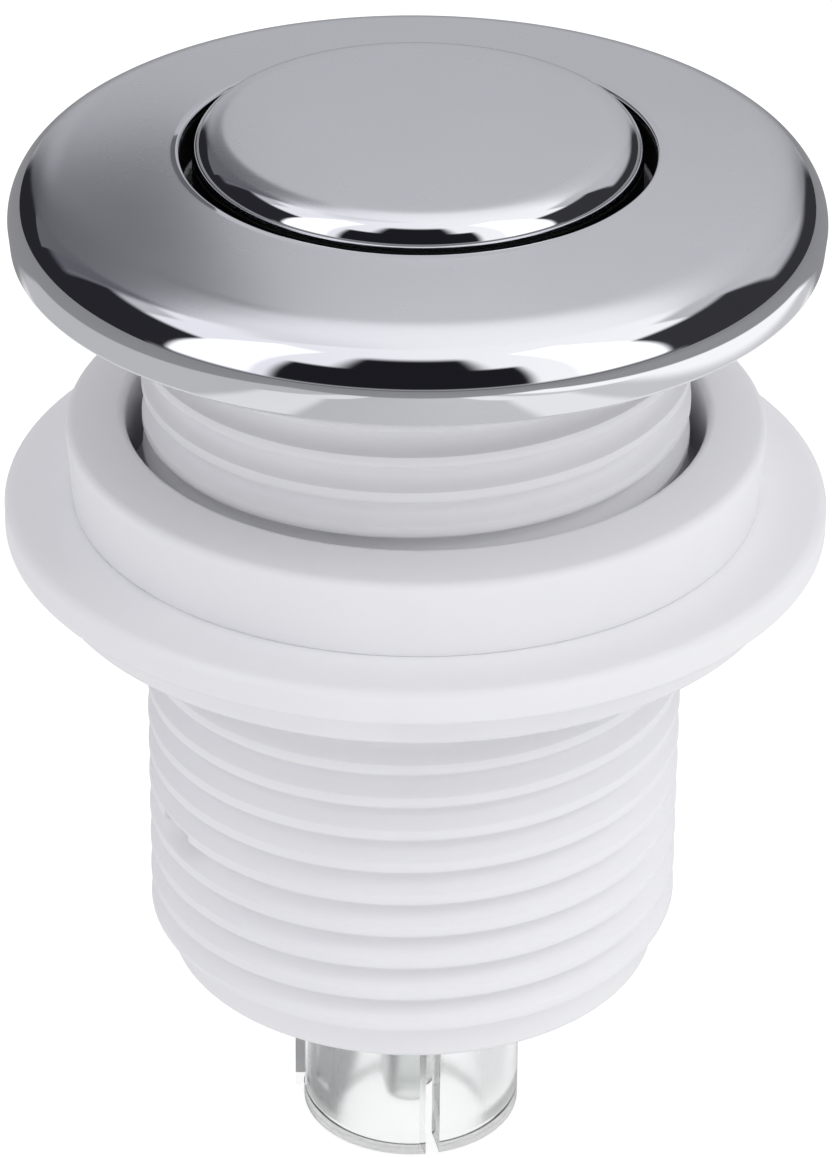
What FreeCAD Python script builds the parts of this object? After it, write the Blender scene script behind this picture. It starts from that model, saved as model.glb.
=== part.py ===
import FreeCAD, Part
import math
import os

# Sink top air switch, in millimetres.
# The Z axis is the switch's own axis, +Z up. Height 0 is the top of the sink deck,
# where the deck gasket seats. The switch is seen from -Y.

# Clearance of a piece in its seat, and of a piece that slides
FIT_CLEAR = 0.05
RUNNING_CLEAR = 0.08

# Thread of the shank: right-handed G1 pipe thread, with a crest at the front at one height
THREAD_R = 33.249 / 2
THREAD_PITCH = 2.309
THREAD_DEPTH = 1.225
THREAD_CREST_W = 0.7
THREAD_ROOT_W = 0.35
THREAD_SINK = 0.3
THREAD_FRONT_Z = -6.0

# Deck gasket and the flange of the body
GASKET_T = 1.4
GASKET_BORE_CLEAR = 0.15
FLANGE_LEDGE = 5.675
FLANGE_T = 1.9

# Bezel
BEZEL_FLANGE_GAP = 0.3
BEZEL_SKIRT_T = 1.75
BEZEL_FOOT_INSET = 0.15
BEZEL_FOOT_LIFT = 0.3
BEZEL_SHOULDER_R = 2.3
BEZEL_SIDE_H = 2.5
BEZEL_FACE_SLOPE = 7.45
BEZEL_LIP = 0.35
BEZEL_WALL = 1.5

# Seal between bezel and body flange
BEZEL_SEAL_GAP = 0.6
BEZEL_SEAL_W = 1.4

# Button cap
BUTTON_GAP = 0.76
BUTTON_PROUD = 1.45
BUTTON_DEPTH = 4.6
BUTTON_CROWN = 0.3
BUTTON_EDGE_R = 1.1
BUTTON_WALL = 1.3
BUTTON_TRAVEL = 5.0
END_STOP_GAP = 0.3

# Plunger
PLUNGER_HEAD_T = 1.7
STEM_WALL = 1.5
STEM_FOOT_L = 1.0

# Shank: wall of the button's well, ledge under the well, plain lead at the foot, drain window
WELL_WALL = 1.4
WELL_CLEAR = 0.63
WELL_DEPTH = 7.0
WELL_LEDGE = 1.4
SHANK_L = 48.4
LEAD_L = 2.8
LEAD_CHAMFER = 0.4
DRAIN_W = 3.3
DRAIN_H = 1.2
DRAIN_LIFT = 11.6
DRAIN_AZIMUTH = -61.8

# Guide sleeve with its wiper, spring seat and circlip
SLEEVE_BORE_GAP = 2.62
SLEEVE_WALL = 1.9
SLEEVE_FLANGE_T = 1.6
SLEEVE_TAIL_L = 6.0
WIPER_W = 0.9
WIPER_H = 1.0
SEAT_T = 0.4
CIRCLIP_T = 1.0
CIRCLIP_W = 1.6
CIRCLIP_GROOVE = 0.35

# Return spring
SPRING_WIRE = 0.9
SPRING_SLEEVE_GAP = 0.37
SPRING_TURNS = 3.5

# Clip and plate on the foot of the stem
CLIP_T = 0.9
CLIP_STAND_OUT = 1.4
CLIP_GROOVE = 0.7
PLATE_T = 1.3
PLATE_STAND_OUT = 1.4
PLATE_PLUG_H = 1.6

# Bellows and its clamp
BELLOWS_BORE_GAP = 1.6
BELLOWS_FOLD = 2.8
BELLOWS_WALL = 0.8
BELLOWS_FOLDS = 3
BELLOWS_COLLAR_T = 0.9
CLAMP_T = 1.5

# End cap, held by a circlip above a lip of the shank
CAP_SEAT_STEP = 0.8
CAP_T = 2.0
CAP_LIP_H = 0.85

# Air connector
CONNECTOR_R = 6.95
CONNECTOR_WALL = 2.4
CONNECTOR_DROP = 13.55
CONNECTOR_FLANGE_T = 1.5
CONNECTOR_WEB_T = 2.0
SPIGOT_R = 1.88
SPIGOT_WALL = 0.88
SPIGOT_SET_BACK = 1.4
SPIGOT_TAPER_L = 1.6
SPIGOT_TIP_INSET = 0.38
SLIT_W = 0.9
SLIT_AZIMUTH = 12.0
KEY_W = 2.4
KEY_STAND_OUT = 0.5
KEY_SET_BACK = 1.25
KEY_AZIMUTH = -92.0
CONNECTOR_SEAL_W = 1.2
CONNECTOR_SEAL_T = 0.8

# Sealing washer
WASHER_DROP = 10.9
WASHER_THREAD_GAP = 1.025
WASHER_W = 3.65
WASHER_H = 5.5
WASHER_FALL = 0.6
WASHER_DRAFT = 0.35
WASHER_LIP = 0.5

# Flange nut
NUT_THREAD_CLEAR = 0.15
NUT_FLANGE_T = 2.2
NUT_FLANGE_STEP = 1.9
NUT_EDGE = 0.6
NUT_GRIP_H = 2.6
NUT_GRIP_DRAFT = 0.3
NUT_HUB_WALL = 2.1
NUT_CORE_W = 2.425
NUT_SKIRT_WALL = 1.6
NUT_ROOF_T = 1.6
NUT_RIBS = 8
NUT_RIB_T = 1.4

# Radii that follow, from the thread inwards
LEAD_R = THREAD_R - THREAD_DEPTH
WELL_R = LEAD_R - WELL_WALL
BUTTON_R = WELL_R - WELL_CLEAR
BORE_R = WELL_R - WELL_LEDGE
CAP_BORE_R = BORE_R + CAP_SEAT_STEP
SLEEVE_R = BORE_R - SLEEVE_BORE_GAP
SLEEVE_BORE_R = SLEEVE_R - SLEEVE_WALL
STEM_R = SLEEVE_BORE_R - RUNNING_CLEAR
SPRING_R = SLEEVE_R + SPRING_SLEEVE_GAP + SPRING_WIRE / 2
BELLOWS_R = BORE_R - BELLOWS_BORE_GAP
CONNECTOR_BORE_R = CONNECTOR_R - CONNECTOR_WALL

# Radii that follow, from the thread outwards
FLANGE_R = THREAD_R + FLANGE_LEDGE
BEZEL_HOLE_R = BUTTON_R + BUTTON_GAP
BEZEL_THROAT_R = BEZEL_HOLE_R + BEZEL_WALL
BEZEL_CAVITY_R = FLANGE_R + BEZEL_FLANGE_GAP
BEZEL_R = BEZEL_CAVITY_R + BEZEL_SKIRT_T
SHOULDER_CENTRE_R = BEZEL_R - BEZEL_SHOULDER_R
FACE_EDGE_R = SHOULDER_CENTRE_R + BEZEL_SHOULDER_R * math.sin(math.radians(BEZEL_FACE_SLOPE))
WASHER_BORE_R = THREAD_R + WASHER_THREAD_GAP
WASHER_R = WASHER_BORE_R + WASHER_W
NUT_BORE_R = LEAD_R + NUT_THREAD_CLEAR
NUT_HUB_R = THREAD_R + NUT_THREAD_CLEAR + NUT_HUB_WALL
NUT_SKIRT_R = NUT_HUB_R + NUT_CORE_W
NUT_GRIP_R = NUT_SKIRT_R + NUT_SKIRT_WALL + NUT_GRIP_DRAFT
NUT_FLANGE_R = NUT_GRIP_R + NUT_FLANGE_STEP

# Heights that follow
FLANGE_TOP = GASKET_T + FLANGE_T
SHOULDER_CENTRE_Z = BEZEL_FOOT_LIFT + BEZEL_SIDE_H
FACE_EDGE_Z = SHOULDER_CENTRE_Z + BEZEL_SHOULDER_R * math.cos(math.radians(BEZEL_FACE_SLOPE))
LIP_Z = FACE_EDGE_Z + (FACE_EDGE_R - BEZEL_HOLE_R) * math.tan(math.radians(BEZEL_FACE_SLOPE))
BUTTON_TOP = LIP_Z + BUTTON_PROUD
BUTTON_FOOT = BUTTON_TOP - BUTTON_DEPTH
HEAD_TOP = BUTTON_TOP - BUTTON_WALL
HEAD_FOOT = HEAD_TOP - PLUNGER_HEAD_T
SLEEVE_FLANGE_TOP = SLEEVE_FLANGE_T - WELL_DEPTH
SLEEVE_TOP = HEAD_FOOT - BUTTON_TRAVEL - END_STOP_GAP
SLEEVE_FOOT = -WELL_DEPTH - SLEEVE_TAIL_L
CLIP_TOP = SLEEVE_FOOT - RUNNING_CLEAR
STEM_FOOT = CLIP_TOP - CLIP_T - STEM_FOOT_L
PLATE_FOOT = STEM_FOOT - PLATE_T
LEAD_TOP = LEAD_L - SHANK_L
CAP_FOOT = -SHANK_L + CAP_LIP_H + CIRCLIP_T
CAP_TOP = CAP_FOOT + CAP_T
CONNECTOR_TOP = CAP_TOP + CONNECTOR_FLANGE_T
CONNECTOR_FOOT = -SHANK_L - CONNECTOR_DROP
COLLAR_TOP = CONNECTOR_TOP + BELLOWS_COLLAR_T
WASHER_FOOT = -WASHER_DROP - WASHER_H
NUT_FLANGE_FOOT = WASHER_FOOT - NUT_FLANGE_T
NUT_FOOT = NUT_FLANGE_FOOT - NUT_GRIP_H

AXIS = FreeCAD.Vector(0, 0, 1)
CENTRE = FreeCAD.Vector(0, 0, 0)


def point(corner):
    """A (radius, height) corner as a point in the plane that is turned about Z."""
    return FreeCAD.Vector(corner[0], 0, corner[1])


def turned(start, *steps):
    """Solid turned about Z from an outline that closes on its start.

    A step is the next (radius, height) corner, or two of them for an arc:
    a point that the arc passes and the point where it ends.
    """
    edges = []
    here = start
    for step in steps + (start,):
        if isinstance(step[0], tuple):
            via, end = step
            edges.append(Part.Arc(point(here), point(via), point(end)).toShape())
        else:
            end = step
            edges.append(Part.LineSegment(point(here), point(end)).toShape())
        here = end
    return Part.Face(Part.Wire(edges)).revolve(CENTRE, AXIS, 360)


def ring(inner, outer, low, high):
    """Plain ring between two radii and two heights."""
    return turned((inner, low), (outer, low), (outer, high), (inner, high))


def on_arc(centre, radius, angle):
    """Point of an arc in the (radius, height) plane, the angle in degrees above the horizontal."""
    turn = math.radians(angle)
    return (centre[0] + radius * math.cos(turn), centre[1] + radius * math.sin(turn))


def radial_block(inner, outer, width, low, high, azimuth):
    """Block that points outwards at an azimuth, in degrees to the right of the front."""
    block = Part.makeBox(width, outer - inner, high - low, FreeCAD.Vector(-width / 2, -outer, low))
    block.rotate(CENTRE, AXIS, azimuth)
    return block


def thread_rib(low, high, clear):
    """Rib of the thread between two heights, grown on every side by a clearance."""
    half_crest = THREAD_CREST_W / 2 + clear
    half_base = (THREAD_PITCH - THREAD_ROOT_W) / 2 + clear
    crest_r = THREAD_R + clear
    base_r = LEAD_R + clear
    inner = LEAD_R - THREAD_SINK
    upper = [(inner, half_base), (base_r, half_base), (crest_r, half_crest)]
    lower = [(r, -z) for r, z in reversed(upper)]
    section = Part.makePolygon([point(corner) for corner in upper + lower + upper[:1]])
    side_z = THREAD_FRONT_Z + THREAD_PITCH / 4
    start = side_z - math.ceil((side_z - low) / THREAD_PITCH + 1) * THREAD_PITCH
    path = Part.makeLongHelix(THREAD_PITCH, high + THREAD_PITCH - start, LEAD_R)
    rib = Part.Wire(path.Edges).makePipeShell([section], True, True)
    rib.translate(FreeCAD.Vector(0, 0, start))
    return rib.common(ring(inner / 2, crest_r + THREAD_DEPTH, low, high))


def face_height(radius):
    """Height at a radius of the cone that rises from the bezel's shoulder to its lip."""
    return FACE_EDGE_Z + (FACE_EDGE_R - radius) * math.tan(math.radians(BEZEL_FACE_SLOPE))


def bezel():
    """Shell over the body's flange, with a throat round the button."""
    shoulder = (SHOULDER_CENTRE_R, SHOULDER_CENTRE_Z)
    lip = BEZEL_HOLE_R + BEZEL_LIP
    return turned(
        (BEZEL_CAVITY_R, BEZEL_FOOT_LIFT),
        (BEZEL_R - BEZEL_FOOT_INSET, BEZEL_FOOT_LIFT),
        (BEZEL_R, SHOULDER_CENTRE_Z),
        (on_arc(shoulder, BEZEL_SHOULDER_R, 45), (FACE_EDGE_R, FACE_EDGE_Z)),
        (lip, face_height(lip)),
        (BEZEL_HOLE_R, face_height(lip) - BEZEL_LIP),
        (BEZEL_HOLE_R, FLANGE_TOP),
        (BEZEL_THROAT_R, FLANGE_TOP),
        (BEZEL_THROAT_R, face_height(BEZEL_THROAT_R) - BEZEL_WALL),
        (BEZEL_CAVITY_R, face_height(BEZEL_CAVITY_R) - BEZEL_WALL),
    )


def bezel_seal():
    """Rubber ring round the bezel's throat, between the body's flange and the bezel's roof."""
    inner = BEZEL_THROAT_R + BEZEL_SEAL_GAP
    outer = inner + BEZEL_SEAL_W
    return ring(inner, outer, FLANGE_TOP, face_height(outer) - BEZEL_WALL - FIT_CLEAR)


def deck_gasket():
    """Flat rubber ring between the body's flange and the deck."""
    return ring(THREAD_R + GASKET_BORE_CLEAR, FLANGE_R, 0, GASKET_T)


def body():
    """Threaded shank with its flange, the well for the button, the bore and the seat of the end cap."""
    groove_r = WELL_R + CIRCLIP_GROOVE
    end_groove_r = CAP_BORE_R + CIRCLIP_GROOVE
    circlip_top = SLEEVE_FLANGE_TOP + CIRCLIP_T
    end_circlip_foot = CAP_FOOT - CIRCLIP_T
    shank = turned(
        (WELL_R, FLANGE_TOP),
        (FLANGE_R, FLANGE_TOP),
        (FLANGE_R, GASKET_T),
        (LEAD_R, GASKET_T),
        (LEAD_R, LEAD_CHAMFER - SHANK_L),
        (LEAD_R - LEAD_CHAMFER, -SHANK_L),
        (CAP_BORE_R, -SHANK_L),
        (CAP_BORE_R, end_circlip_foot),
        (end_groove_r, end_circlip_foot),
        (end_groove_r, CAP_FOOT),
        (CAP_BORE_R, CAP_FOOT),
        (CAP_BORE_R, CAP_TOP),
        (BORE_R, CAP_TOP),
        (BORE_R, -WELL_DEPTH),
        (WELL_R, -WELL_DEPTH),
        (WELL_R, SLEEVE_FLANGE_TOP),
        (groove_r, SLEEVE_FLANGE_TOP),
        (groove_r, circlip_top),
        (WELL_R, circlip_top),
    )
    drain_low = DRAIN_LIFT - SHANK_L - DRAIN_H / 2
    drain = radial_block(0, BEZEL_R, DRAIN_W, drain_low, drain_low + DRAIN_H, DRAIN_AZIMUTH)
    return shank.fuse(thread_rib(LEAD_TOP, GASKET_T, 0)).cut(drain)


def button_cap():
    """Hollow push button with a low crown and a rounded edge."""
    edge = (BUTTON_R - BUTTON_EDGE_R, BUTTON_TOP - BUTTON_EDGE_R)
    inner_r = BUTTON_R - BUTTON_WALL
    crown_top = BUTTON_TOP + BUTTON_CROWN
    crown_r = (edge[0] ** 2 + BUTTON_CROWN ** 2) / (2 * BUTTON_CROWN)
    crown_angle = math.degrees(math.acos(edge[0] / 2 / crown_r))
    return turned(
        (0, HEAD_TOP),
        (inner_r, HEAD_TOP),
        (inner_r, BUTTON_FOOT),
        (BUTTON_R, BUTTON_FOOT),
        (BUTTON_R, edge[1]),
        (on_arc(edge, BUTTON_EDGE_R, 45), (edge[0], BUTTON_TOP)),
        (on_arc((0, crown_top - crown_r), crown_r, crown_angle), (0, crown_top)),
    )


def button_plunger():
    """Head that fills the cap and the hollow stem below it, with a groove for the clip."""
    head_r = BUTTON_R - BUTTON_WALL - FIT_CLEAR
    groove_r = STEM_R - CLIP_GROOVE
    hollow_r = STEM_R - STEM_WALL
    return turned(
        (0, HEAD_TOP),
        (head_r, HEAD_TOP),
        (head_r, HEAD_FOOT),
        (STEM_R, HEAD_FOOT),
        (STEM_R, CLIP_TOP),
        (groove_r, CLIP_TOP),
        (groove_r, CLIP_TOP - CLIP_T),
        (STEM_R, CLIP_TOP - CLIP_T),
        (STEM_R, STEM_FOOT),
        (hollow_r, STEM_FOOT),
        (hollow_r, HEAD_FOOT),
        (0, HEAD_FOOT),
    )


def stem_clip():
    """Ring in the stem's groove that meets the sleeve's foot at the top of the stroke."""
    return ring(STEM_R - CLIP_GROOVE + FIT_CLEAR, STEM_R + CLIP_STAND_OUT, CLIP_TOP - CLIP_T, CLIP_TOP)


def bellows_plate():
    """Disc on the stem's foot, with a plug that fills the end of the stem."""
    plate_r = STEM_R + PLATE_STAND_OUT
    plug_r = STEM_R - STEM_WALL - FIT_CLEAR
    return turned(
        (0, PLATE_FOOT),
        (plate_r, PLATE_FOOT),
        (plate_r, STEM_FOOT),
        (plug_r, STEM_FOOT),
        (plug_r, STEM_FOOT + PLATE_PLUG_H),
        (0, STEM_FOOT + PLATE_PLUG_H),
    )


def guide_sleeve():
    """Flanged bush that guides the stem, with a pocket for the wiper at its top."""
    flange_r = WELL_R - FIT_CLEAR
    pocket_r = SLEEVE_BORE_R + WIPER_W
    pocket_foot = SLEEVE_TOP - WIPER_H
    return turned(
        (SLEEVE_BORE_R, SLEEVE_FOOT),
        (SLEEVE_R, SLEEVE_FOOT),
        (SLEEVE_R, -WELL_DEPTH),
        (flange_r, -WELL_DEPTH),
        (flange_r, SLEEVE_FLANGE_TOP),
        (SLEEVE_R, SLEEVE_FLANGE_TOP),
        (SLEEVE_R, SLEEVE_TOP),
        (pocket_r, SLEEVE_TOP),
        (pocket_r, pocket_foot),
        (SLEEVE_BORE_R, pocket_foot),
    )


def stem_wiper():
    """Rubber ring round the stem in the sleeve's pocket."""
    return ring(SLEEVE_BORE_R, SLEEVE_BORE_R + WIPER_W - FIT_CLEAR, SLEEVE_TOP - WIPER_H, SLEEVE_TOP)


def sleeve_circlip():
    """Ring in the well's groove that holds the sleeve's flange down."""
    outer = WELL_R + CIRCLIP_GROOVE - FIT_CLEAR
    return ring(outer - CIRCLIP_W, outer, SLEEVE_FLANGE_TOP, SLEEVE_FLANGE_TOP + CIRCLIP_T)


def spring_seat():
    """Thin washer between the spring and the sleeve's flange."""
    return ring(SLEEVE_R + FIT_CLEAR, SPRING_R + SPRING_WIRE, SLEEVE_FLANGE_TOP, SLEEVE_FLANGE_TOP + SEAT_T)


def return_spring():
    """Coil of square wire between its seat and the plunger's head."""
    low = SLEEVE_FLANGE_TOP + SEAT_T + FIT_CLEAR
    high = HEAD_FOOT - FIT_CLEAR
    rise = high - low - SPRING_WIRE
    path = Part.makeHelix(rise / SPRING_TURNS, rise, SPRING_R)
    half = SPRING_WIRE / 2
    corners = [(-half, -half), (half, -half), (half, half), (-half, half), (-half, -half)]
    wire = Part.makePolygon([FreeCAD.Vector(SPRING_R + r, 0, z) for r, z in corners])
    coil = Part.Wire(path.Edges).makePipeShell([wire], True, True)
    coil.translate(FreeCAD.Vector(0, 0, low + half))
    return coil


def bellows():
    """Rubber bellows: closed at the top, open at the foot, with a collar under the clamp."""
    crest = BELLOWS_R
    root = BELLOWS_R - BELLOWS_FOLD
    top = PLATE_FOOT - FIT_CLEAR
    fold_h = (top - COLLAR_TOP) / BELLOWS_FOLDS
    outside = []
    inside = []
    for fold in range(BELLOWS_FOLDS):
        low = COLLAR_TOP + fold * fold_h
        middle = low + fold_h / 2
        outside += [(root, low), (crest, middle)]
        inside += [(root - BELLOWS_WALL, low), (crest - BELLOWS_WALL, middle)]
    outside += [(root, top)]
    ceiling = top - BELLOWS_WALL
    top_flank = 1 - BELLOWS_WALL / (fold_h / 2)
    inside += [(crest - BELLOWS_WALL - BELLOWS_FOLD * top_flank, ceiling)]
    inside[0] = (root - BELLOWS_WALL, CONNECTOR_TOP)
    return turned(
        (BELLOWS_R, CONNECTOR_TOP),
        (BELLOWS_R, COLLAR_TOP),
        *outside,
        (0, top),
        (0, ceiling),
        *reversed(inside),
    )


def bellows_clamp():
    """Ring that presses the collar of the bellows on to the connector."""
    root = BELLOWS_R - BELLOWS_FOLD
    return ring(root + BELLOWS_FOLD / 2, BORE_R - FIT_CLEAR, COLLAR_TOP, COLLAR_TOP + CLAMP_T)


def connector_seal():
    """Rubber ring in the end cap's pocket, under the connector's flange."""
    inner = CONNECTOR_R + FIT_CLEAR
    return ring(inner, inner + CONNECTOR_SEAL_W - FIT_CLEAR, CAP_TOP - CONNECTOR_SEAL_T, CAP_TOP)


def end_cap():
    """Disc that closes the shank, with the hole for the connector and the pocket for its seal."""
    hole_r = CONNECTOR_R + FIT_CLEAR
    pocket_r = hole_r + CONNECTOR_SEAL_W
    pocket_foot = CAP_TOP - CONNECTOR_SEAL_T
    outer = CAP_BORE_R - FIT_CLEAR
    return turned(
        (hole_r, CAP_FOOT),
        (outer, CAP_FOOT),
        (outer, CAP_TOP),
        (pocket_r, CAP_TOP),
        (pocket_r, pocket_foot),
        (hole_r, pocket_foot),
    )


def end_circlip():
    """Ring in the shank's groove that holds the end cap up."""
    outer = CAP_BORE_R + CIRCLIP_GROOVE - FIT_CLEAR
    return ring(outer - CIRCLIP_W, outer, CAP_FOOT - CIRCLIP_T, CAP_FOOT)


def air_connector():
    """Clear sleeve with the hose spigot inside it, a slit at the front and a key on the left."""
    web_foot = CAP_FOOT - CONNECTOR_WEB_T
    spigot_foot = CONNECTOR_FOOT + SPIGOT_SET_BACK
    spigot_bore_r = SPIGOT_R - SPIGOT_WALL
    sleeve = turned(
        (spigot_bore_r, CONNECTOR_TOP),
        (spigot_bore_r, spigot_foot),
        (SPIGOT_R - SPIGOT_TIP_INSET, spigot_foot),
        (SPIGOT_R, spigot_foot + SPIGOT_TAPER_L),
        (SPIGOT_R, web_foot),
        (CONNECTOR_BORE_R, web_foot),
        (CONNECTOR_BORE_R, CONNECTOR_FOOT),
        (CONNECTOR_R, CONNECTOR_FOOT),
        (CONNECTOR_R, CAP_TOP),
        (BELLOWS_R, CAP_TOP),
        (BELLOWS_R, CONNECTOR_TOP),
    )
    slit_in = (CONNECTOR_BORE_R + SPIGOT_R) / 2
    slit_out = CONNECTOR_R + SLIT_W
    slit_foot = CONNECTOR_FOOT - SLIT_W
    slit = radial_block(slit_in, slit_out, SLIT_W, slit_foot, web_foot, SLIT_AZIMUTH)
    key_in = (CONNECTOR_BORE_R + CONNECTOR_R) / 2
    key_out = CONNECTOR_R + KEY_STAND_OUT
    key_foot = CONNECTOR_FOOT + KEY_SET_BACK
    key = radial_block(key_in, key_out, KEY_W, key_foot, CAP_FOOT, KEY_AZIMUTH)
    return sleeve.cut(slit).fuse(key).removeSplitter()


def sealing_washer():
    """Thick ring that lies loose on the nut; its top falls outwards."""
    top = -WASHER_DROP
    side_top = top - WASHER_FALL
    return turned(
        (WASHER_BORE_R, WASHER_FOOT),
        (WASHER_R - WASHER_DRAFT, WASHER_FOOT),
        (WASHER_R, side_top),
        (WASHER_BORE_R + WASHER_LIP, top),
        (WASHER_BORE_R, top - WASHER_LIP),
    )


def flange_nut():
    """Threaded nut with a wide flange over a grip tier, cored from below between ribs."""
    solid = turned(
        (NUT_BORE_R, NUT_FOOT),
        (NUT_GRIP_R - NUT_GRIP_DRAFT, NUT_FOOT),
        (NUT_GRIP_R, NUT_FLANGE_FOOT),
        (NUT_FLANGE_R, NUT_FLANGE_FOOT),
        (NUT_FLANGE_R, WASHER_FOOT - NUT_EDGE),
        (NUT_FLANGE_R - NUT_EDGE, WASHER_FOOT),
        (NUT_BORE_R, WASHER_FOOT),
    )
    core_top = WASHER_FOOT - NUT_ROOF_T
    core = ring(NUT_HUB_R, NUT_SKIRT_R, NUT_FOOT, core_top)
    for rib in range(NUT_RIBS):
        turn = 360 / NUT_RIBS * (rib + 0.5)
        core = core.cut(radial_block(0, NUT_GRIP_R, NUT_RIB_T, NUT_FOOT, core_top, turn))
    return solid.cut(core).cut(thread_rib(NUT_FOOT, WASHER_FOOT, NUT_THREAD_CLEAR))


PIECES = (
    bezel,
    bezel_seal,
    deck_gasket,
    body,
    button_cap,
    button_plunger,
    stem_clip,
    bellows_plate,
    guide_sleeve,
    stem_wiper,
    sleeve_circlip,
    spring_seat,
    return_spring,
    bellows,
    bellows_clamp,
    connector_seal,
    end_cap,
    end_circlip,
    air_connector,
    sealing_washer,
    flange_nut,
)

os.makedirs("parts", exist_ok=True)
for piece in PIECES:
    shape = piece()
    shape.exportStep("parts/" + piece.__name__ + ".step")
    print(piece.__name__, shape.ShapeType, len(shape.Solids), round(shape.Volume, 2), shape.isValid())
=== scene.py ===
import math

import bmesh
import bpy
from mathutils import Matrix, Vector


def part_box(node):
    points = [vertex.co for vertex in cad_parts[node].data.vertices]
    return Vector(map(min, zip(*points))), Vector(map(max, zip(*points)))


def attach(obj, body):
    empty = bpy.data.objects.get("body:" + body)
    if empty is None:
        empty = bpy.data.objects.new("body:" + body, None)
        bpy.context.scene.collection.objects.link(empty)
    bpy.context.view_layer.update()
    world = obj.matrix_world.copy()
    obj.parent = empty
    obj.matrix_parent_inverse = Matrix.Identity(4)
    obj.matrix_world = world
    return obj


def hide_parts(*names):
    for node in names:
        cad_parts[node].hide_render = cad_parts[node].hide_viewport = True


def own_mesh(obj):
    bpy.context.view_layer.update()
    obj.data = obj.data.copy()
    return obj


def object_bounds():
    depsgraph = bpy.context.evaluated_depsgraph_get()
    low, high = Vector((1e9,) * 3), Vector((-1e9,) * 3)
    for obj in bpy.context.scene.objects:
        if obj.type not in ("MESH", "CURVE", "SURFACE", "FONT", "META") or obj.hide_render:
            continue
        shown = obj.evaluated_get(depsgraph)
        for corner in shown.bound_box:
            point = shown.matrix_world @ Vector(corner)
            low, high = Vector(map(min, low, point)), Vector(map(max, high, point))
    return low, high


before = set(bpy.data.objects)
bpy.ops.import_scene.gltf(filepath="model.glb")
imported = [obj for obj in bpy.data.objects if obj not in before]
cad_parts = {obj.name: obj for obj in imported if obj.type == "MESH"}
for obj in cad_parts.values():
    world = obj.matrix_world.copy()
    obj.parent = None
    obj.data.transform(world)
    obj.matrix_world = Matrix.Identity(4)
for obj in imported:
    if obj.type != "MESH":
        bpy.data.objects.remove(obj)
cad_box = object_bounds()

# Sizes below are in millimetres, heights from the top of the sink deck, angles in degrees.
# An azimuth is counted to the right of the front, which is -Y.
MM = 0.001
TURN = 2 * math.pi

# Camera, as fitted to the photo of 832 x 1158 pixels
CAMERA_AT = (0.073, -282.457, 138.441)
CAMERA_DOWN = 29.78
CAMERA_ROLL = 0.48
CAMERA_LENS = 227.9
SENSOR_W = 36.0

# Smoothness of the turned pieces
CHROME_COLUMNS = 384
PLASTIC_COLUMNS = 192
CLEAR_COLUMNS = 256
ARC_STEP = 9.0
EDGE_STEP = 2.5
SHARP_ANGLE = 38.0

# Thread of the shank and the nut: flat of a crest and start of a groove, both from the crest's middle
THREAD_R = 33.249 / 2
PITCH = 2.309
THREAD_DEPTH = 1.225
THREAD_CREST_Z = -6.0
THREAD_ROWS = 14
CREST_FLAT = 0.25
GROOVE_FROM = 1.08
LEAD_R = THREAD_R - THREAD_DEPTH
NUT_THREAD_CLEAR = 0.15

# Body and the pieces in it
WELL_WALL = 1.4
WELL_LEDGE = 1.4
WELL_DEPTH = 7.0
CAP_SEAT_STEP = 0.8
CIRCLIP_GROOVE = 0.35
LEAD_L = 2.8
DRAIN_W = 3.3
DRAIN_H = 1.2
DRAIN_LIFT = 11.6
DRAIN_AZIMUTH = -61.8

# Bezel and button: each edge is a wide curve that tightens at a tilt from the level
BEZEL_SHOULDER_R = 2.3
BEZEL_SIDE_H = 2.5
BEZEL_EDGE = (5.6, 30.0, 3.1)
BUTTON_EDGE = (3.0, 20.0, 1.7)
BEZEL_FOOT_INSET = 0.15
BEZEL_SLOPE = 7.45
BEZEL_WALL = 1.5
BEZEL_FLANGE_GAP = 0.3
BUTTON_GAP = 0.76
BUTTON_CROWN = 0.3
BUTTON_EDGE_R = 1.1
BUTTON_WALL = 1.3

# Flange nut and washer
NUT_FLANGE_T = 2.2
NUT_FLANGE_STEP = 1.9
NUT_GRIP_DRAFT = 0.3
NUT_HUB_WALL = 2.1
NUT_CORE_W = 2.425
NUT_ROOF_T = 1.6
NUT_RIBS = 8
NUT_RIB_T = 1.4
WASHER_W = 3.65
WASHER_FALL = 0.6
WASHER_DRAFT = 0.35
GASKET_BORE_CLEAR = 0.15

# Air connector
CONNECTOR_R = 6.95
CONNECTOR_WALL = 2.4
CONNECTOR_WEB_T = 2.0
SPIGOT_R = 1.88
SPIGOT_BORE_R = 1.0
SPIGOT_SET_BACK = 1.4
SPIGOT_TAPER_L = 1.6
SPIGOT_TIP_INSET = 0.38
SLIT_W = 0.9
SLIT_AZIMUTH = 12.0
KEY_W = 2.4
KEY_STAND_OUT = 0.5
KEY_SET_BACK = 1.25
KEY_AZIMUTH = -92.0

# Spring and bellows
SPRING_R = 10.8
SPRING_WIRE = 0.9
SPRING_TURNS = 4.5
BELLOWS_FOLD = 2.8
BELLOWS_WALL = 0.8
BELLOWS_FOLDS = 3
BELLOWS_COLLAR_T = 0.9

# Finish: where the satin ends on the bezel and the button, and how rough each surface is
BEZEL_SATIN_R = 22.9
BUTTON_SATIN_R = 12.55
SATIN_BLEND = 0.2
BEZEL_LIP_BRIGHT = 0.5
SATIN_ROUGH = 0.27
MIRROR_ROUGH = 0.035
# Height below the lip over which the painted gap shade fades in
GAP_SHADE_DROP = 0.5
CONNECTOR_FROST = 0.2


def low(node):
    """Height of a node's foot."""
    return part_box(node)[0].z / MM


def high(node):
    """Height of a node's top."""
    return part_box(node)[1].z / MM


def radius(node):
    """Outer radius of a round node."""
    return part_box(node)[1].x / MM


# Outlines and turned surfaces

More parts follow.
